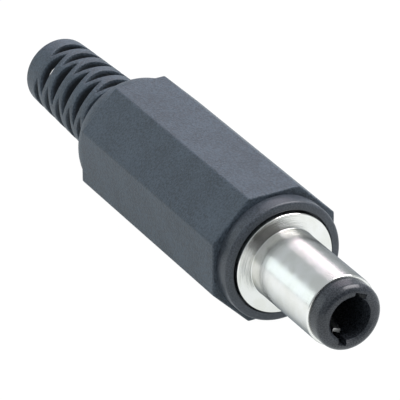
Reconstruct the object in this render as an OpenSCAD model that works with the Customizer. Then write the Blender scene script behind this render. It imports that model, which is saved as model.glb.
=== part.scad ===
// Screw-on DC barrel plug: octagonal grip with a slotted bend relief, and the contact insert it covers.
//
// The plug's axis is X, with the tip towards +X. The origin is on that axis, at the front face of the
// metal flange, where the plug stops against its socket. +Z is up, and the grip lies on one of its flats.
// Lengths are in millimetres.

/* [Shaft] */
// Outer diameter of the metal shaft that enters the socket
shaft_d = 5.5; // [5.3:0.05:5.7]
// Wall of the metal tube
shaft_wall = 0.5; // [0.45:0.05:0.55]
// Length of the metal tube in front of the flange
tube_l = 7.8; // [6.6:0.1:9.8]
// Chamfer on the tube's mouth
tube_chamfer = 0.12; // [0.05:0.01:0.15]
// Length of the insulating nose in front of the tube
nose_l = 1.45; // [1.3:0.05:1.8]
// How far the nose lies inside the shaft's surface
nose_step = 0.18; // [0.15:0.01:0.25]
// Rounding of the nose's front edge
nose_round = 0.6; // [0.4:0.05:0.65]
// Diameter of the hole for the socket's centre pin
pin_hole_d = 3.3; // [3.2:0.05:3.4]
// Lead-in chamfer of that hole
pin_hole_chamfer = 0.18; // [0.1:0.01:0.2]
// Length of the hole's round lip, in front of the wider cavity of the fork contact
lip_l = 1.1; // [0.9:0.05:1.2]

/* [Key notches] */
// Lean of the two notches from the vertical, towards +Y at the top
notch_lean = 23; // [0:1:45]
// Width of the upper notch
notch_upper_w = 1.0; // [0.8:0.05:1.2]
// Width of the lower notch
notch_lower_w = 0.7; // [0.65:0.05:0.9]
// Depth of the notches, outwards from the pin hole
notch_depth = 0.37; // [0.3:0.01:0.4]

/* [Flange and collar] */
// How far the collar's side lies inside the grip's flats
collar_inset = 0.3; // [0.2:0.05:0.5]
// Length of the collar in front of the grip
collar_l = 1.35; // [1.2:0.05:1.6]
// Rounding of the collar's front edge
collar_round = 0.22; // [0.1:0.01:0.25]
// Wall of the collar round the flange's pocket
pocket_wall = 0.65; // [0.5:0.05:0.8]
// Gap all round the flange in that pocket
pocket_gap = 0.15; // [0.1:0.01:0.2]
// Thickness of the metal flange
flange_t = 0.8; // [0.6:0.05:1]
// How far the flange stands in front of the collar
flange_proud = 0.25; // [0.15:0.05:0.4]

/* [Thread] */
// Length of the threaded spigot that the grip screws on to, behind the collar
thread_l = 7; // [6:0.1:8]
// Running clearance between the spigot and the grip's bore
thread_gap = 0.05; // [0.03:0.01:0.08]

/* [Grip] */
// Width of the octagonal grip across its flats
grip_af = 10; // [9.8:0.1:10.6]
// Length of the octagonal grip
grip_l = 20.2; // [19.8:0.1:24]
// Radius of the round shoulder between the grip's flats and the bend relief
shoulder_r = 2.7; // [2.5:0.1:3]
// How far the shoulder's largest circle lies inside the flats
shoulder_inset = 0.05; // [0.03:0.01:0.15]
// How much wider the grip's thread bore is than its soldering chamber, in radius
bore_step = 0.15; // [0.1:0.05:0.2]
// Length of the chamber's tapered end
chamber_taper = 3.6; // [3.2:0.1:4]

/* [Bend relief] */
// Length of the bend relief and its shoulder, behind the octagonal grip
relief_l = 13.7; // [12:0.1:17]
// Diameter of the cable entry in the end ring
cable_hole_d = 4; // [3.8:0.05:4]
// How much wider the bore is in front of the end ring, in radius
relief_bore_step = 0.2; // [0.2:0.05:0.3]
// Wall of the bend relief at its free end
relief_wall = 0.6; // [0.5:0.05:0.7]
// How much thicker that wall is at the grip's shoulder
relief_taper = 0.4; // [0.3:0.05:0.6]
// Rounding of the free end
relief_round = 0.35; // [0.2:0.05:0.4]
// Length of the plain ring at the free end
end_ring_l = 1.45; // [1.2:0.05:1.8]
// Greatest width of each window in the bend relief
window_w = 1; // [0.9:0.02:1.04]
// Distance from one row of windows to the next
row_pitch = 0.96; // [0.92:0.01:1.05]
// Angle round the bend relief that each window spans
window_span = 80; // [70:1:84]
// Direction in which the windows are drawn, from +Z towards +Y
window_draw = 67.5; // [60:0.5:75]

/* [Contacts] */
// Thickness of the two stamped solder lugs
lug_t = 0.4; // [0.3:0.05:0.45]
// Wall of the barrel's turned tail
tail_wall = 0.25; // [0.2:0.05:0.3]
// How far the barrel's rim is rolled outwards over the ground lug
rim_lip = 0.45; // [0.3:0.05:0.5]
// Length of that rolled rim
rim_l = 0.35; // [0.3:0.05:0.4]
// Gap between the lug's strip and the barrel's rim above it
strip_gap = 0.15; // [0.12:0.01:0.2]
// Gap between the ground lug and the soldering chamber's wall
lug_gap = 0.35; // [0.3:0.05:0.5]
// Width of the ground lug's strip
ground_strip_w = 2.6; // [2.2:0.1:2.8]
// Length of the ground lug's strip, up to the cable clamp
ground_strip_l = 5.9; // [5.2:0.1:6.4]
// Length of the cable clamp along the plug
clamp_l = 2.6; // [2:0.1:2.9]
// How far each of the clamp's wings stands inside the lug's ring
wing_inset = 0.5; // [0.4:0.05:0.8]
// Height of the wing tips above the plug's axis
clamp_top = 1.7; // [1.2:0.1:2]
// Diameter of the wire hole in the ground lug
ground_hole_d = 1.3; // [1:0.1:1.4]
// Thickness of the rear insulating washer
washer_t = 0.6; // [0.5:0.05:0.8]
// How far that washer reaches out past the rolled rim
washer_lip = 0.1; // [0.05:0.05:0.3]
// Diameter of the centre contact's shank
shank_d = 1.6; // [1.5:0.05:1.7]
// How far the rivet head behind the centre lug is wider than the shank, in radius
rivet_lip = 0.45; // [0.35:0.05:0.55]
// Length of that rivet head
rivet_l = 0.4; // [0.3:0.05:0.5]
// How far the centre lug's ring is wider than the rivet head, in radius
centre_ring_lip = 0.45; // [0.3:0.05:0.6]
// Width of the centre lug's strip
centre_strip_w = 1.8; // [1.6:0.1:2]
// Length of the centre lug's strip
centre_strip_l = 3.4; // [3:0.1:4]
// Height of the centre lug's strip above the plug's axis
centre_strip_z = 2.1; // [1.9:0.1:2.4]
// Diameter of the wire hole in the centre lug
centre_hole_d = 0.9; // [0.8:0.05:1]

/* [Fork contact] */
// Depth of the fork contact's cavity, from the nose's front
cavity_l = 8.4; // [7.8:0.1:9]
// How much wider the cavity is than the pin hole, in radius
cavity_step = 0.2; // [0.18:0.01:0.25]
// Gap round the fork contact's hub in the cavity
hub_gap = 0.35; // [0.3:0.05:0.5]
// Length of the fork contact's hub
hub_l = 1.2; // [1:0.1:1.6]
// Gap between the two prongs where they grip the centre pin
fork_gap = 1.9; // [1.8:0.05:2]
// How much wider the gap is at the prongs' roots, on each side
root_spread = 0.15; // [0.1:0.01:0.2]
// How much wider the gap is at the prongs' flared tips, on each side
tip_spread = 0.28; // [0.2:0.01:0.3]
// Thickness of each prong
prong_t = 0.28; // [0.25:0.01:0.3]
// Width of each prong
prong_w = 0.62; // [0.55:0.01:0.64]
// Distance from the prongs' tips to the lip in front of them
prong_tip_gap = 0.05; // [0.03:0.01:0.2]
// Place of the grip point along the prongs, as a share of their length
grip_point = 0.78; // [0.7:0.01:0.85]

/* [Hidden] */
$fn = 96;

// Gap left between pieces that are pressed into each other
press_gap = 0.02;
// Overrun of a cutting shape past the face it cuts
over = 0.5;

shaft_r = shaft_d / 2;
tube_r = shaft_r - shaft_wall;
sleeve_r = tube_r - press_gap;
nose_r = shaft_r - nose_step;
hole_r = pin_hole_d / 2;
notch_r = hole_r + notch_depth;
cavity_r = hole_r + cavity_step;
hub_r = cavity_r - hub_gap;
collar_r = grip_af / 2 - collar_inset;
pocket_r = collar_r - pocket_wall;
flange_r = pocket_r - pocket_gap;
cable_r = cable_hole_d / 2;
relief_bore_r = cable_r + relief_bore_step;
relief_end_r = relief_bore_r + relief_wall;
relief_root_r = relief_end_r + relief_taper;
tail_r = tube_r + tail_wall;
rim_r = tail_r + rim_lip;
washer_r = rim_r + washer_lip;
ground_ring_r = rim_r + strip_gap + lug_t;
chamber_r = ground_ring_r + lug_gap;
bore_r = chamber_r + bore_step;
thread_r = bore_r - thread_gap;
shank_r = shank_d / 2;
rivet_r = shank_r + rivet_lip;
centre_ring_r = rivet_r + centre_ring_lip;

// Places along the plug's axis
tube_x = tube_l;
tip_x = tube_x + nose_l;
lip_x = tip_x - lip_l;
cavity_x = tip_x - cavity_l;
flange_back = -flange_t;
collar_x = -flange_proud;
grip_x = collar_x - collar_l;
spigot_x = grip_x - thread_l;
ground_x = spigot_x - lug_t;
rim_x = ground_x - rim_l;
washer_x = rim_x - washer_t;
centre_x = washer_x - lug_t;
rivet_x = centre_x - rivet_l;
clamp_x = ground_x - ground_strip_l;
octagon_x = grip_x - grip_l;
relief_x = octagon_x - relief_l;

// The shoulder is a quarter round, almost flush with the flats, that ends where it meets the bend relief
shoulder_top = grip_af / 2 - shoulder_inset;
shoulder_c = shoulder_top - shoulder_r;
shoulder_x = octagon_x - sqrt(pow(shoulder_r, 2) - pow(relief_root_r - shoulder_c, 2));

// Rows of windows: the last row touches the end ring, and rows are added up to the shoulder
last_row_x = relief_x + end_ring_l + window_w / 2;
row_count = floor((shoulder_x - last_row_x) / row_pitch) + 1;

function relief_r(x) =
    relief_end_r + (relief_root_r - relief_end_r) * (x - relief_x) / (shoulder_x - relief_x);

// Half the gap between the prongs, at a share s of their length
function prong_r(s) =
    fork_gap / 2 + (s < grip_point
        ? root_spread * pow(1 - s / grip_point, 2)
        : tip_spread * pow((s - grip_point) / (1 - grip_point), 2));

// Turns a profile round the plug's axis: its x is the radius, and its y the place along the plug
module turned() rotate([0, 90, 0]) rotate_extrude() children();

// Profile of a ring from radius r0 to r1 and from place x0 to x1
module ring(r0, r1, x0, x1) translate([r0, x0]) square([r1 - r0, x1 - x0]);

// The same with its outer front edge rounded
module rounded_ring(r0, r1, x0, x1, round) {
    ring(r0, r1 - round, x0, x1);
    ring(r0, r1, x0, x1 - round);
    translate([r1 - round, x1 - round]) circle(round);
}

// A stamped strip along the plug from place x0 to x1, between two heights
module strip(width, x0, x1, z0, z1)
    translate([x0, -width / 2, z0]) cube([x1 - x0, width, z1 - z0]);

module octagon_prism(x0, x1)
    translate([x0, 0, 0]) rotate([0, 90, 0]) rotate([0, 0, 22.5])
        cylinder(h = x1 - x0, r = grip_af / 2 / cos(22.5), $fn = 8);

// Round shoulder behind the octagon
module shoulder_profile() intersection() {
    union() {
        translate([shoulder_c, octagon_x]) circle(shoulder_r);
        ring(0, shoulder_c, octagon_x - shoulder_r, octagon_x);
        ring(0, shoulder_top, octagon_x, octagon_x + over);
    }
    ring(0, grip_af / 2, shoulder_x, octagon_x + over);
}

// Tapered tube of the bend relief, with a rounded free end
module relief_profile() {
    polygon([
        [0, relief_x], [relief_end_r - relief_round, relief_x],
        [relief_r(relief_x + relief_round), relief_x + relief_round],
        [relief_root_r, shoulder_x], [relief_root_r, octagon_x], [0, octagon_x]
    ]);
    translate([relief_end_r - relief_round, relief_x + relief_round]) circle(relief_round);
}

// Thread bore, soldering chamber and cable bore inside the grip
module grip_bore_profile() {
    taper_x = octagon_x + chamber_taper / 2;
    ring(0, bore_r, spigot_x - over, grip_x + over);
    polygon([
        [0, spigot_x], [chamber_r, spigot_x], [chamber_r, taper_x],
        [relief_bore_r, taper_x - chamber_taper],
        [relief_bore_r, relief_x + end_ring_l], [0, relief_x + end_ring_l]
    ]);
    ring(0, cable_r, relief_x - over, relief_x + end_ring_l + over);
}

// Lens-shaped cutter of one window, with a sharp rim and its axis along the plug
module window_cutter(rim_r) {
    face_r = (pow(rim_r, 2) + pow(window_w / 2, 2)) / window_w;
    turned() intersection() {
        translate([0, face_r - window_w / 2]) circle(face_r);
        translate([0, window_w / 2 - face_r]) circle(face_r);
        ring(0, rim_r + over, -window_w, window_w);
    }
}

// Three windows in each row, and each row turned half a step against its neighbours
module windows()
    for (row = [0 : row_count - 1], window = [0 : 2]) {
        row_x = last_row_x + row * row_pitch;
        surface_r = relief_r(row_x);
        direction = window_draw + 120 * window + (row % 2 == 0 ? 180 : 0);
        translate([row_x, 0, 0]) rotate([-direction, 0, 0]) translate([0, 0, surface_r])
            window_cutter(2 * surface_r * sin(window_span / 4));
    }

module grip() color("#3a3d42") difference() {
    union() {
        octagon_prism(octagon_x, grip_x);
        turned() shoulder_profile();
        turned() relief_profile();
    }
    turned() grip_bore_profile();
    windows();
}

// Moulded insulating body: collar with a pocket for the flange, and the threaded spigot
module contact_carrier() color("#26282b") difference() {
    turned() {
        rounded_ring(0, collar_r, grip_x, collar_x, collar_round);
        ring(0, thread_r, spigot_x, grip_x);
    }
    turned() {
        ring(0, pocket_r, flange_back, collar_x + over);
        ring(0, shaft_r + press_gap, spigot_x - over, flange_back + over);
    }
}

// Outer contact: tube, flange, shank in the carrier, and a tail rolled over the ground lug
module barrel_contact() color("#d3d2cf") turned() difference() {
    union() {
        polygon([
            [0, spigot_x], [shaft_r, spigot_x], [shaft_r, tube_x - tube_chamfer],
            [shaft_r - tube_chamfer, tube_x], [0, tube_x]
        ]);
        ring(0, flange_r, flange_back, 0);
        ring(0, tail_r, rim_x, spigot_x);
        ring(0, rim_r, rim_x, ground_x);
    }
    ring(0, tube_r, rim_x - over, tube_x + over);
}

// Section of the cable clamp: an open cradle with two wings
module clamp_section() {
    outer_r = ground_ring_r - wing_inset;
    inner_r = outer_r - lug_t;
    cradle_y = -wing_inset;
    difference() {
        union() {
            translate([0, cradle_y]) circle(outer_r);
            translate([-outer_r, cradle_y]) square([2 * outer_r, clamp_top - cradle_y]);
        }
        translate([0, cradle_y]) circle(inner_r);
        translate([-inner_r, cradle_y]) square([2 * inner_r, 2 * outer_r]);
    }
}

// Outer contact's solder lug: ring, strip with a wire hole, and cable clamp, stamped in one
module ground_lug() color("#c9c6bf") {
    bottom_z = -ground_ring_r;
    difference() {
        union() {
            turned() ring(0, ground_ring_r, ground_x, spigot_x);
            strip(ground_strip_w, clamp_x, spigot_x, bottom_z, bottom_z + lug_t);
        }
        turned() ring(0, tail_r + press_gap, ground_x - over, spigot_x + over);
        translate([(clamp_x + ground_x) / 2, 0, bottom_z - over])
            cylinder(h = lug_t + 2 * over, d = ground_hole_d);
    }
    translate([clamp_x - clamp_l, 0, 0]) rotate([90, 0, 90])
        linear_extrude(clamp_l) clamp_section();
}

// Insulating sleeve: it lines the metal tube, closes its mouth with the nose and holds the fork contact
module insulating_sleeve() color("#2b2d31") difference() {
    turned() {
        ring(0, sleeve_r, rim_x, tube_x);
        rounded_ring(0, nose_r, tube_x, tip_x, nose_round);
    }
    turned() {
        ring(0, hole_r, cavity_x, tip_x + over);
        ring(0, cavity_r, cavity_x, lip_x);
        ring(0, shank_r + press_gap, rim_x - over, cavity_x + over);
        polygon([
            [0, tip_x - pin_hole_chamfer], [hole_r, tip_x - pin_hole_chamfer],
            [hole_r + pin_hole_chamfer + over, tip_x + over], [0, tip_x + over]
        ]);
    }
    rotate([-notch_lean, 0, 0]) {
        strip(notch_upper_w, cavity_x, tip_x + over, 0, notch_r);
        strip(notch_lower_w, cavity_x, tip_x + over, -notch_r, 0);
    }
}

// Outline of one prong, along the plug and away from its axis
module prong_outline(x0, x1) {
    steps = 24;
    inner = [for (i = [0 : steps]) [x0 + (x1 - x0) * i / steps, prong_r(i / steps)]];
    outer = [for (i = [steps : -1 : 0]) [x0 + (x1 - x0) * i / steps, prong_r(i / steps) + prong_t]];
    polygon(concat(inner, outer));
}

// Inner contact: shank, hub and two sprung prongs that grip the socket's centre pin
module fork_contact() color("#c2bfb8") {
    hub_x = cavity_x + hub_l;
    turned() {
        ring(0, shank_r, centre_x, cavity_x);
        ring(0, hub_r, cavity_x, hub_x);
        ring(0, rivet_r, rivet_x, centre_x);
    }
    rotate([-notch_lean, 0, 0])
        for (side = [0, 1]) mirror([0, 0, side]) rotate([90, 0, 0])
            translate([0, 0, -prong_w / 2]) linear_extrude(prong_w)
                prong_outline(hub_x - hub_l / 2, lip_x - prong_tip_gap);
}

// Washer that keeps the two solder lugs apart
module rear_washer() color("#8a5a3a") turned()
    ring(shank_r + press_gap, washer_r, washer_x, rim_x);

// Inner contact's solder lug: ring, riser and strip with a wire hole, stamped in one
module centre_lug() color("#c9c6bf") {
    end_x = centre_x - centre_strip_l;
    top_z = centre_strip_z + lug_t;
    difference() {
        union() {
            turned() ring(0, centre_ring_r, centre_x, washer_x);
            strip(centre_strip_w, centre_x, washer_x, 0, top_z);
            strip(centre_strip_w, end_x, washer_x, centre_strip_z, top_z);
            translate([end_x, 0, centre_strip_z]) cylinder(h = lug_t, d = centre_strip_w);
        }
        turned() ring(0, shank_r + press_gap, centre_x - over, washer_x + over);
        translate([end_x, 0, centre_strip_z - over]) cylinder(h = lug_t + 2 * over, d = centre_hole_d);
    }
}

grip();
contact_carrier();
barrel_contact();
ground_lug();
insulating_sleeve();
fork_contact();
rear_washer();
centre_lug();
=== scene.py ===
import math

import bmesh
import bpy
from mathutils import Matrix, Vector


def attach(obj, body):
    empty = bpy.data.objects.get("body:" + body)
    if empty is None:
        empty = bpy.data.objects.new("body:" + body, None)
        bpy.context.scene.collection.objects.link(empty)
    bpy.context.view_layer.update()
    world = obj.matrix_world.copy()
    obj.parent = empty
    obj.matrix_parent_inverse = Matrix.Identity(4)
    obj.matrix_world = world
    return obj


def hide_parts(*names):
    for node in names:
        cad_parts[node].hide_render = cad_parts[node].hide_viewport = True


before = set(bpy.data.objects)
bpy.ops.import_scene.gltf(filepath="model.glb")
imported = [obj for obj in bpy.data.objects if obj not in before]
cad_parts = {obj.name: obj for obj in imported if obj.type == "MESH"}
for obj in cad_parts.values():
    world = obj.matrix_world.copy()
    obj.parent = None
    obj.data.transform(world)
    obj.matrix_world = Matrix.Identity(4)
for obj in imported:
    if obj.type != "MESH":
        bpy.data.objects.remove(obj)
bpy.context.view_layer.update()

MM = 0.001
ROUND = 2 * math.pi
MERGE_WITHIN = 0.0005 * MM

# Sizes that the solids are made with, in millimetres. X runs along the plug, towards its tip.
SHAFT_R, TUBE_R = 2.75, 2.25
TUBE_MOUTH_X = 7.8
FLANGE_R, FLANGE_BACK_X = 3.9, -0.8
POCKET_R, COLLAR_R = 4.05, 4.7
COLLAR_X, GRIP_X = -0.25, -1.6
THREAD_R, BORE_R, CHAMBER_R = 3.95, 4.0, 3.85
SPIGOT_X, LUG_X, RIM_X = -8.6, -9.0, -9.35
TAIL_R, RIM_R = 2.5, 2.95
FLATS = 10.0
OCTAGON_X, RELIEF_X = -21.8, -35.5
SHOULDER_R, SHOULDER_TOP = 2.7, 4.95
SHOULDER_MID = SHOULDER_TOP - SHOULDER_R
CHAMBER_CONE = 1.8
CABLE_R, RELIEF_BORE_R = 2.0, 2.2
RELIEF_END_R, RELIEF_ROOT_R, RELIEF_ROUND = 2.8, 3.2, 0.35
RELIEF_ROOT_X = OCTAGON_X - math.sqrt(SHOULDER_R ** 2 - (RELIEF_ROOT_R - SHOULDER_MID) ** 2)
SKIN_LEN = 12.0
ROWS, FIRST_ROW_X, ROW_PITCH = 10, -33.55, 0.96
WINDOW_W, WINDOW_SPAN, WINDOW_DRAW = 1.0, 80.0, 67.5
WINDOWS_APART = 120

# What the solids leave out, in millimetres: the thread's form, and edges that are eased.
THREAD_DEPTH, THREAD_PITCH, THREAD_TURNS = 0.42, 0.9, 6.5
FLAT_EASE, WINDOW_EASE, THREAD_LEAD_IN = 0.1, 0.06, 0.2

# How fine the round shapes are.
TURN_STEPS, BARREL_STEPS, RELIEF_STEPS, THREAD_STEPS = 128, 160, 144, 72
FLAT_STEPS, END_STEPS, SHOULDER_STEPS = 12, 6, 12


# ---------------------------------------------------------------- shaping

def outline(points, rounds):
    """A bmesh with one closed outline in the XZ plane, from (x, radius) points in millimetres.

    rounds gives the rounding of the points that have one, by their number.
    """
    bm = bmesh.new()
    corners = [bm.verts.new((x * MM, 0, r * MM)) for x, r in points]
    bm.faces.new(corners)
    for number, size in rounds.items():
        bmesh.ops.bevel(
            bm, geom=[corners[number]], offset=size * MM, offset_type="OFFSET",
            segments=5, profile=0.5, affect="VERTICES", material=-1,
        )
    bmesh.ops.delete(bm, geom=bm.faces[:], context="FACES_ONLY")
    return bm


def turn(bm, steps=TURN_STEPS):
    """Turns what is in the bmesh once round the plug's axis."""
    bmesh.ops.spin(
        bm, geom=bm.verts[:] + bm.edges[:], cent=(0, 0, 0), axis=(1, 0, 0), dvec=(0, 0, 0),
        angle=ROUND, steps=steps, use_merge=True, use_duplicate=False,
    )
    return bm


def radius_of(vertex):
    """How far a vertex is from the axis of the plug."""
    return math.hypot(vertex.co.y, vertex.co.z)


def angle_of(vertex):
    """The direction of a vertex round the plug's axis, in degrees from +Z towards +Y."""
    return math.degrees(math.atan2(vertex.co.y, vertex.co.z))


def placed(name, bm, finish):
    """Makes a bmesh an object of the scene, with its place in its mesh."""
    mesh = bpy.data.meshes.new(name)
    bm.to_mesh(mesh)
    bm.free()
    mesh.materials.append(finish)
    made = bpy.data.objects.new(name, mesh)
    bpy.context.scene.collection.objects.link(made)
    return made


def piece(name, bm, body, finish, stands_for, sharp, flat=None):
    """Makes a bmesh a piece of the plug that rides on a body and stands for some nodes.

    It is smooth where it is round, and crisp at edges that turn by more than sharp degrees.
    flat picks the faces that stay flat.
    """
    bmesh.ops.remove_doubles(bm, verts=bm.verts, dist=MERGE_WITHIN)
    bmesh.ops.recalc_face_normals(bm, faces=bm.faces)
    for face in bm.faces:
        face.smooth = not (flat and flat(face))
    for edge in bm.edges:
        edge.smooth = len(edge.link_faces) == 2 and edge.calc_face_angle() < math.radians(sharp)
    made = placed(name, bm, finish)
    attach(made, body)
    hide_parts(*stands_for)


def dressed(node, name, finish):
    """A copy of a solid of the contact insert, merged and shaded, that stands for it."""
    bm = bmesh.new()
    bm.from_mesh(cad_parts[node].data)
    piece(name, bm, "plug", finish, (node,), sharp=28)


# ---------------------------------------------------------------- finishes

class Wire:
    """A socket of a finish. Sums and products of wires add their Math nodes."""

    def __init__(self, finish, socket):
        self.finish, self.socket = finish, socket

    def maths(self, operation, first, second):
        return self.finish.node("Math", {"operation": operation}, {0: first, 1: second})

    def __add__(self, other):
        return self.maths("ADD", self, other)

    def __radd__(self, other):
        return self.maths("ADD", other, self)

    def __sub__(self, other):
        return self.maths("SUBTRACT", self, other)

    def __rsub__(self, other):
        return self.maths("SUBTRACT", other, self)

    def __mul__(self, other):
        return self.maths("MULTIPLY", self, other)

    def __rmul__(self, other):
        return self.maths("MULTIPLY", other, self)

    def __pow__(self, other):
        return self.maths("POWER", self, other)


class Finish:
    """A node material, or the world, that is put together node by node."""

    def __init__(self, owner):
        owner.use_nodes = True
        self.owner, self.tree = owner, owner.node_tree
        self.tree.nodes.clear()

    def node(self, kind, settings=None, sockets=None, out=0):
        """Adds a node of a type, with its settings and then the values or wires of its sockets.

        It returns one of the node's outputs.
        """
        made = self.tree.nodes.new("ShaderNode" + kind)
        for key, value in (settings or {}).items():
            setattr(made, key, value)
        for key, value in (sockets or {}).items():
            if isinstance(value, Wire):
                self.tree.links.new(value.socket, made.inputs[key])
            else:
                made.inputs[key].default_value = value
        return Wire(self, made.outputs[out] if made.outputs else None)

    def place(self):
        """The place on a piece, in metres."""
        return self.node("TexCoord", out="Object")

    def axes(self, place):
        """The three parts of a place, in metres."""
        parts = self.node("SeparateXYZ", sockets={0: place})
        return [Wire(self, parts.socket.node.outputs[i]) for i in range(3)]

    def noise(self, place, scale, detail=2.0, roughness=0.5):
        """Noise whose grains are about 1 / scale metres."""
        sockets = {"Vector": place, "Scale": scale, "Detail": detail, "Roughness": roughness}
        return self.node("TexNoise", {"noise_dimensions": "3D"}, sockets)

    def between(self, value, low, high, to_low=0.0, to_high=1.0):
        """A value taken smoothly from one range to another."""
        sockets = {"Value": value, "From Min": low, "From Max": high, "To Min": to_low, "To Max": to_high}
        return self.node("MapRange", {"interpolation_type": "SMOOTHSTEP"}, sockets)

    def blend(self, share, first, second):
        """A colour between two, by a share."""
        colours = [c if isinstance(c, Wire) else (*c, 1) for c in (first, second)]
        return self.node("Mix", {"data_type": "RGBA"}, {0: share, 6: colours[0], 7: colours[1]}, out=2)

    def bump(self, height, distance):
        return self.node("Bump", sockets={"Height": height, "Distance": distance})

    def surface(self, **sockets):
        named = {key.replace("_", " "): value for key, value in sockets.items()}
        shader = self.node("BsdfPrincipled", sockets=named)
        self.node("OutputMaterial", sockets={"Surface": shader})
        return self.owner


def finish_named(name):
    """A new, empty finish."""
    return Finish(bpy.data.materials.new(name))


def moulded_plastic(name, shade, grain, roughness, lift, inside=1.0):
    """Black plastic with the fine texture of a spark-eroded mould, its grain and lift in millimetres.

    inside sets how dark the colour turns below the outer skin: painted shade in the bend relief's windows
    and bore, a plain tone there without the grain's speckle.
    """
    f = finish_named(name)
    place = f.place()
    pits = f.noise(place, 1 / (grain * MM), 3.0, 0.6)
    cloud = f.noise(place, 1 / (2.4 * MM), 2.0)
    pale = tuple(c * 1.42 for c in shade)
    dark = tuple(c * 0.66 for c in shade)
    colour = f.blend(f.between(pits * 0.8 + cloud * 0.2, 0.38, 0.62), dark, pale)
    # Painted shade: below the outer skin, in the relief's windows and bore, the colour darkens to a plain
    # tone.
    if inside < 1:
        x, y, z = f.axes(place)
        skin = (x - RELIEF_X * MM) * ((RELIEF_ROOT_R - RELIEF_END_R) / SKIN_LEN) + RELIEF_END_R * MM
        depth = skin - (y * y + z * z) ** 0.5
        painted_shade_share = f.between(depth, 0.06 * MM, 0.35 * MM)
        colour = f.blend(painted_shade_share, colour, tuple(c * inside for c in shade))
    rough = f.between(pits, 0.3, 0.7, roughness - 0.06, roughness + 0.06)
    return f.surface(Base_Color=colour, Roughness=rough, Normal=f.bump(pits, lift * MM))


def nickel_plate(name):
    """Bright nickel on turned brass: faint rings from the lathe, a slight haze, and a painted dark
    reflection at grazing edges.
    """
    f = finish_named(name)
    place = f.place()
    x, y, z = f.axes(place)
    radius = (y * y + z * z) ** 0.5
    turned = f.node("CombineXYZ", sockets={0: x, 1: radius, 2: 0.0})
    depth = f.between(radius, (SHAFT_R + 0.05) * MM, (SHAFT_R + 0.2) * MM, 0.45, 1.0)
    rings = f.noise(turned, 1 / (0.045 * MM), 1.0) * depth
    haze = f.noise(place, 1 / (1.3 * MM), 3.0)
    colour = f.blend(f.between(haze, 0.35, 0.65), (0.86, 0.85, 0.8), (0.92, 0.91, 0.88))
    rough = f.between(haze, 0.3, 0.7, 0.17, 0.23)
    # The dark Specular_Tint turns the metal's grazing edges dark: a painted reflection of dark
    # surroundings.
    return f.surface(
        Base_Color=colour, Metallic=1.0, Roughness=rough, Specular_Tint=(0.2, 0.22, 0.25, 1),
        Normal=f.bump(rings, 0.014 * MM),
    )


def tin_plate(name, shade):
    """Dull tin on stamped brass."""
    f = finish_named(name)
    place = f.place()
    smear = f.noise(place, 1 / (0.7 * MM), 4.0, 0.6)
    fine = f.noise(place, 1 / (0.08 * MM), 2.0)
    colour = f.blend(f.between(smear, 0.35, 0.65), tuple(c * 0.86 for c in shade), shade)
    rough = f.between(smear, 0.3, 0.7, 0.24, 0.4)
    return f.surface(Base_Color=colour, Metallic=1.0, Roughness=rough, Normal=f.bump(fine, 0.002 * MM))


def laminated_fibre(name):
    """Brown washer stamped from pressed fibre sheet."""
    f = finish_named(name)
    place = f.place()
    layers = f.node(
        "TexWave", {"wave_type": "BANDS", "bands_direction": "X"},
        {"Vector": place, "Scale": 1 / (0.5 * MM), "Distortion": 2.0, "Detail": 2.0}, out=1,
    )
    fleck = f.noise(place, 1 / (0.2 * MM), 3.0)
    colour = f.blend(f.between(layers * 0.4 + fleck * 0.6, 0.3, 0.7), (0.2, 0.09, 0.045), (0.36, 0.19, 0.1))
    return f.surface(Base_Color=colour, Roughness=0.62, Normal=f.bump(fleck, 0.006 * MM))


# The grip's inside=0.25 paints shade into the bend relief's windows and bore.
GRIP_FINISH = moulded_plastic("grip_plastic", (0.051, 0.07, 0.09), 0.15, 0.5, 0.065, inside=0.25)
CARRIER_FINISH = moulded_plastic("carrier_plastic", (0.052, 0.062, 0.075), 0.12, 0.4, 0.006)
NOSE_FINISH = moulded_plastic("nose_plastic", (0.032, 0.037, 0.044), 0.12, 0.27, 0.002)
NICKEL_FINISH = nickel_plate("nickel_plate")
TIN_FINISH = tin_plate("tinned_brass", (0.8, 0.79, 0.76))
FORK_FINISH = tin_plate("fork_plate", (0.88, 0.87, 0.83))
FIBRE_FINISH = laminated_fibre("washer_fibre")


# ---------------------------------------------------------------- the grip

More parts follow.
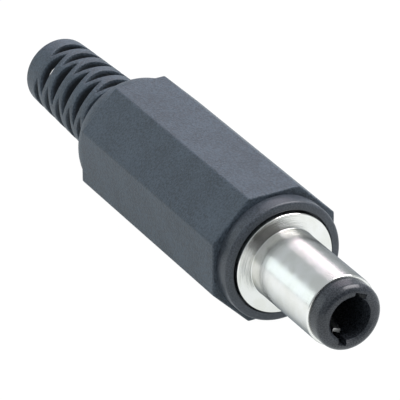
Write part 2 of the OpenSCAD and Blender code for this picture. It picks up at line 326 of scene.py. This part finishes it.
def octagonal_handle():
    """The handle: an octagonal tube with eased edges, bored for the thread and the soldering chamber."""
    bm = bmesh.new()
    corner_r = FLATS / 2 / math.cos(ROUND / 16)
    across = Matrix.Rotation(ROUND / 4, 3, "Y")
    bmesh.ops.create_circle(bm, cap_ends=False, segments=8, radius=corner_r * MM)
    bmesh.ops.rotate(bm, verts=bm.verts, cent=(0, 0, 0), matrix=Matrix.Rotation(ROUND / 16, 3, "Z"))
    bmesh.ops.subdivide_edges(bm, edges=bm.edges[:], cuts=FLAT_STEPS - 1)
    bmesh.ops.rotate(bm, verts=bm.verts, cent=(0, 0, 0), matrix=across)
    bmesh.ops.translate(bm, verts=bm.verts, vec=(GRIP_X * MM, 0, 0))
    front = bm.edges[:]
    swept = bmesh.ops.extrude_edge_only(bm, edges=front)["geom"]
    rear_verts = [g for g in swept if isinstance(g, bmesh.types.BMVert)]
    rear = [g for g in swept if isinstance(g, bmesh.types.BMEdge) and all(v in rear_verts for v in g.verts)]
    bmesh.ops.translate(bm, verts=rear_verts, vec=((OCTAGON_X - GRIP_X) * MM, 0, 0))

    def inner_loop(x, radius):
        circle = bmesh.ops.create_circle(bm, cap_ends=False, segments=8 * FLAT_STEPS, radius=radius * MM)
        made = circle["verts"]
        bmesh.ops.rotate(bm, verts=made, cent=(0, 0, 0), matrix=across)
        bmesh.ops.translate(bm, verts=made, vec=(x * MM, 0, 0))
        return [e for e in bm.edges if e.verts[0] in made and e.verts[1] in made]

    inside = [
        (GRIP_X, BORE_R + THREAD_LEAD_IN), (GRIP_X - THREAD_LEAD_IN, BORE_R),
        (SPIGOT_X, BORE_R), (SPIGOT_X, CHAMBER_R), (OCTAGON_X + CHAMBER_CONE, CHAMBER_R),
        (OCTAGON_X, inner_r(OCTAGON_X)), (OCTAGON_X, SHOULDER_TOP - 0.3),
    ]
    loops = [front] + [inner_loop(x, r) for x, r in inside] + [rear]
    for one, other in zip(loops, loops[1:]):
        bmesh.ops.bridge_loops(bm, edges=one + other)
    long_edges = [
        e for e in bm.edges
        if abs(e.verts[0].co.x - e.verts[1].co.x) > 10 * MM
        and min(radius_of(v) for v in e.verts) > (corner_r - 0.01) * MM
    ]
    bmesh.ops.bevel(
        bm, geom=long_edges + front + rear, offset=FLAT_EASE * MM, offset_type="OFFSET", segments=3,
        profile=0.5, affect="EDGES", clamp_overlap=False, material=-1,
    )
    piece("octagonal_handle", bm, "grip", GRIP_FINISH, ("grip",), sharp=40, flat=is_facet)


def is_facet(face):
    """Whether a face is part of one of the handle's eight flats or of its two ends."""
    way = math.degrees(math.atan2(face.normal.y, face.normal.z)) % 45
    outside = face.calc_center_median().yz.length > (SHOULDER_TOP - 0.1) * MM
    along = outside and abs(face.normal.x) < 0.01 and min(way, 45 - way) < 1
    return along or abs(face.normal.x) > 0.999


def inner_r(x):
    """Inner radius of the bend relief and of the cone that leads from it to the soldering chamber."""
    if x < FIRST_ROW_X - WINDOW_W / 2:
        return CABLE_R
    share = (x - (OCTAGON_X - CHAMBER_CONE)) / (2 * CHAMBER_CONE)
    return RELIEF_BORE_R + max(0.0, share) * (CHAMBER_R - RELIEF_BORE_R)


def relief_r(x):
    """Outer radius of the bend relief at a place along the plug."""
    share = (x - RELIEF_X) / (RELIEF_ROOT_X - RELIEF_X)
    return RELIEF_END_R + (RELIEF_ROOT_R - RELIEF_END_R) * share


def window_half(angle, row):
    """Half the width of the windows of a row, at an angle round the plug."""
    middle = WINDOW_DRAW + (180 if row % 2 == 0 else 0)
    off = (angle - middle + WINDOWS_APART / 2) % WINDOWS_APART - WINDOWS_APART / 2
    return WINDOW_W / 2 * max(0.0, 1 - (off / (WINDOW_SPAN / 2)) ** 2)


def relief_skin():
    """The outer skin of the slotted bend relief and of the round shoulder that it grows out of."""
    bm = bmesh.new()
    line = [(RELIEF_X, RELIEF_END_R - RELIEF_ROUND)]
    for step in range(1, END_STEPS + 1):
        lean = step / END_STEPS * ROUND / 4
        line.append((
            RELIEF_X + RELIEF_ROUND * (1 - math.cos(lean)),
            RELIEF_END_R - RELIEF_ROUND + RELIEF_ROUND * math.sin(lean),
        ))
    rows_x = [FIRST_ROW_X + ROW_PITCH * row for row in range(ROWS)]
    ring_x = FIRST_ROW_X - WINDOW_W / 2
    line += [(x, relief_r(x)) for x in [ring_x - 0.16, ring_x - 0.12] + rows_x]
    start = math.acos((RELIEF_ROOT_R - SHOULDER_MID) / SHOULDER_R)
    for step in range(SHOULDER_STEPS + 1):
        lean = start * (1 - step / SHOULDER_STEPS)
        line.append((OCTAGON_X - SHOULDER_R * math.sin(lean), SHOULDER_MID + SHOULDER_R * math.cos(lean)))
    line.append((OCTAGON_X + 0.06, SHOULDER_TOP))
    points = [bm.verts.new((x * MM, 0, r * MM)) for x, r in line]
    for one, other in zip(points, points[1:]):
        bm.edges.new((one, other))
    turn(bm, RELIEF_STEPS)
    for row, x in enumerate(rows_x):
        slit = [
            e for e in bm.edges
            if all(abs(v.co.x - x * MM) < 0.01 * MM for v in e.verts)
            and sum(window_half(angle_of(v), row) for v in e.verts) > 0.001
        ]
        bmesh.ops.split_edges(bm, edges=slit)
    for vertex in bm.verts:
        nearest = min(range(ROWS), key=lambda row: abs(vertex.co.x - rows_x[row] * MM))
        if abs(vertex.co.x - rows_x[nearest] * MM) > 0.01 * MM:
            continue
        middle = sum(f.calc_center_median().x for f in vertex.link_faces) / len(vertex.link_faces)
        half = window_half(angle_of(vertex), nearest)
        if half > 0.001 and abs(middle - vertex.co.x) > 0.1 * MM:
            side = 1 if middle > vertex.co.x else -1
            x = rows_x[nearest] + side * half
            wider = relief_r(x) / relief_r(rows_x[nearest])
            vertex.co = Vector((x * MM, vertex.co.y * wider, vertex.co.z * wider))
    return bm


def bend_relief():
    """The bend relief: its skin, a second skin inside, and faces between the two along every rim."""
    bm = relief_skin()
    outer, rims = bm.verts[:], [e for e in bm.edges if len(e.link_faces) == 1]
    copied = bmesh.ops.duplicate(bm, geom=bm.verts[:] + bm.edges[:] + bm.faces[:])
    twin = {vertex: copied["vert_map"][vertex] for vertex in outer}
    for vertex, other in twin.items():
        share = inner_r(vertex.co.x / MM) * MM / radius_of(vertex)
        other.co = Vector((vertex.co.x, vertex.co.y * share, vertex.co.z * share))
    for edge in rims:
        a, b = edge.verts
        bm.faces.new((a, b, twin[b], twin[a]))
    bmesh.ops.recalc_face_normals(bm, faces=bm.faces)
    windows = [e for e in rims if all(RELIEF_X + 0.5 < v.co.x / MM < OCTAGON_X - 0.5 for v in e.verts)]
    bmesh.ops.bevel(
        bm, geom=windows, offset=WINDOW_EASE * MM, offset_type="OFFSET", segments=2, profile=0.5,
        affect="EDGES", clamp_overlap=False, material=-1,
    )
    piece("bend_relief", bm, "grip", GRIP_FINISH, ("grip",), sharp=50)


# ---------------------------------------------------------------- the contact insert

def threaded_carrier():
    """The moulded collar with its pocket, and the threaded spigot that the grip screws on to."""
    root_r = THREAD_R - THREAD_DEPTH
    lining_r = SHAFT_R + 0.02
    bm = outline(
        [
            (COLLAR_X, POCKET_R), (COLLAR_X, COLLAR_R), (GRIP_X, COLLAR_R), (GRIP_X, root_r),
            (SPIGOT_X, root_r), (SPIGOT_X, lining_r), (FLANGE_BACK_X, lining_r), (FLANGE_BACK_X, POCKET_R),
        ],
        {0: 0.06, 1: 0.22, 2: 0.05, 4: 0.15},
    )
    turn(bm)
    thread = bmesh.new()
    start_x = SPIGOT_X + 0.35
    foot_r = root_r - 0.05
    ridge = [
        (start_x - 0.3, foot_r), (start_x - 0.1, THREAD_R),
        (start_x + 0.1, THREAD_R), (start_x + 0.3, foot_r),
    ]
    thread.faces.new([thread.verts.new((x * MM, 0, r * MM)) for x, r in ridge])
    bmesh.ops.spin(
        thread, geom=thread.verts[:] + thread.edges[:] + thread.faces[:], cent=(0, 0, 0), axis=(1, 0, 0),
        dvec=(THREAD_PITCH * MM / THREAD_STEPS, 0, 0), angle=ROUND * THREAD_TURNS,
        steps=int(THREAD_STEPS * THREAD_TURNS), use_duplicate=False,
    )
    bmesh.ops.recalc_face_normals(thread, faces=thread.faces)
    helix = bpy.data.meshes.new("thread")
    thread.to_mesh(helix)
    thread.free()
    bm.from_mesh(helix)
    bpy.data.meshes.remove(helix)
    piece("threaded_carrier", bm, "plug", CARRIER_FINISH, ("contact_carrier",), sharp=32)


def barrel():
    """The nickel-plated outer contact: tube, flange, shank, and the tail that is rolled over its lug."""
    bm = outline(
        [
            (TUBE_MOUTH_X, TUBE_R), (TUBE_MOUTH_X, SHAFT_R), (0, SHAFT_R), (0, FLANGE_R),
            (FLANGE_BACK_X, FLANGE_R), (FLANGE_BACK_X, SHAFT_R), (SPIGOT_X, SHAFT_R), (SPIGOT_X, TAIL_R),
            (LUG_X, TAIL_R), (LUG_X, RIM_R), (RIM_X, RIM_R), (RIM_X, TUBE_R),
        ],
        {0: 0.06, 1: 0.12, 2: 0.06, 3: 0.07, 4: 0.05, 9: 0.1, 10: 0.15},
    )
    turn(bm, BARREL_STEPS)
    piece("barrel", bm, "plug", NICKEL_FINISH, ("barrel_contact",), sharp=32)


octagonal_handle()
bend_relief()
threaded_carrier()
barrel()
dressed("insulating_sleeve", "keyed_nose", NOSE_FINISH)
dressed("fork_contact", "fork", FORK_FINISH)
dressed("ground_lug", "lug_with_clamp", TIN_FINISH)
dressed("centre_lug", "small_lug", TIN_FINISH)
dressed("rear_washer", "fibre_washer", FIBRE_FINISH)


# ---------------------------------------------------------------- floor, light and camera

MIDDLE = Vector((-12, 0, 0)) * MM
WHITE = (1.0, 1.0, 1.0)


def floor():
    """A white floor under the plug. It keeps a faint shadow, and metal mirrors it as nearly white."""
    bm = bmesh.new()
    bmesh.ops.create_grid(bm, x_segments=1, y_segments=1, size=1.5)
    bmesh.ops.translate(bm, verts=bm.verts, vec=(0, 0, -FLATS / 2 * MM))
    f = finish_named("white_floor")
    seen = f.node("LightPath", out="Is Camera Ray")
    mirror = Wire(f, seen.socket.node.outputs["Is Glossy Ray"])
    matte = f.node("BsdfDiffuse", sockets={"Color": (0.9, 0.9, 0.9, 1), "Roughness": 0.5})
    tint = f.blend(seen, (0.93, 0.985, 1.0), WHITE)
    glow = f.node("Emission", sockets={"Color": tint, "Strength": 1.03})
    both = f.node("MixShader", sockets={0: seen * 0.62 + mirror * 0.45 + 0.35, 1: matte, 2: glow})
    f.node("OutputMaterial", sockets={"Surface": both})
    made = placed("floor", bm, f.owner)


def lamp(name, direction, distance, size, energy, colour):
    """A soft rectangular lamp that looks at the plug from a direction."""
    data = bpy.data.lights.new(name, "AREA")
    data.shape, data.size, data.size_y = "RECTANGLE", size[0], size[1]
    data.energy, data.color = energy, colour
    made = bpy.data.objects.new(name, data)
    away = Vector(direction).normalized()
    made.location = MIDDLE + away * distance
    made.rotation_mode = "QUATERNION"
    made.rotation_quaternion = away.to_track_quat("Z", "Y")
    bpy.context.scene.collection.objects.link(made)


def dark_card():
    """A black card in front of the plug, out of the picture, for the metal to mirror."""
    bm = bmesh.new()
    bmesh.ops.create_grid(bm, x_segments=1, y_segments=1, size=0.5)
    bmesh.ops.scale(bm, verts=bm.verts, vec=(0.42, 0.62, 1))
    bmesh.ops.rotate(bm, verts=bm.verts, cent=(0, 0, 0), matrix=Matrix.Rotation(-ROUND / 4, 3, "Y"))
    bmesh.ops.translate(bm, verts=bm.verts, vec=(0.45, -0.05, 0.205))
    black = finish_named("black_card").surface(Base_Color=(0.02, 0.02, 0.02, 1), Roughness=0.9)
    made = placed("dark_card", bm, black)
    made.visible_camera = False


def daylight():
    """Plain light from all round, which looks white behind the plug."""
    world = bpy.data.worlds.new("studio")
    bpy.context.scene.world = world
    f = Finish(world)
    seen = f.node("LightPath", out="Is Camera Ray")
    mirror = Wire(f, seen.socket.node.outputs["Is Glossy Ray"])
    strength = seen * 0.55 + mirror * 0.08 + 0.45
    tint = f.blend(seen, (0.88, 0.95, 1.0), WHITE)
    light = f.node("Background", sockets={"Color": tint, "Strength": strength})
    f.node("OutputWorld", sockets={"Surface": light})


def camera():
    """A long lens that looks at the plug from in front of its tip, from its right and from above."""
    sensor, lens, distance = 36, 367.11, 0.3
    aim = Vector((-12, -0.3, -0.4)) * MM
    way, rise, roll = math.radians(-28.8), math.radians(28.2), math.radians(-0.3)
    data = bpy.data.cameras.new("camera")
    data.sensor_width, data.lens = sensor, lens
    data.clip_start, data.clip_end = 0.01, 10
    made = bpy.data.objects.new("camera", data)
    back = Vector((math.cos(way) * math.cos(rise), math.sin(way) * math.cos(rise), math.sin(rise)))
    made.location = aim + back * distance
    made.rotation_mode = "QUATERNION"
    tilt = Matrix.Rotation(roll, 4, "Z").to_quaternion()
    made.rotation_quaternion = (-back).to_track_quat("-Z", "Y") @ tilt
    bpy.context.scene.collection.objects.link(made)
    bpy.context.scene.camera = made


floor()
dark_card()
daylight()
lamp("overhead", (0.05, 0.5, 0.85), 0.4, (0.3, 0.3), 1.95, (1, 0.96, 1))
lamp("rear_panel", (-0.772, 0.34, 0.54), 0.35, (0.2, 0.2), 0.155, (1, 0.85, 0.95))
lamp("side_box", (-0.788, -0.616, 0.27), 0.3, (0.26, 0.15), 0.088, (0.88, 0.98, 1))
camera()
bpy.context.scene.view_settings.view_transform = "Standard"
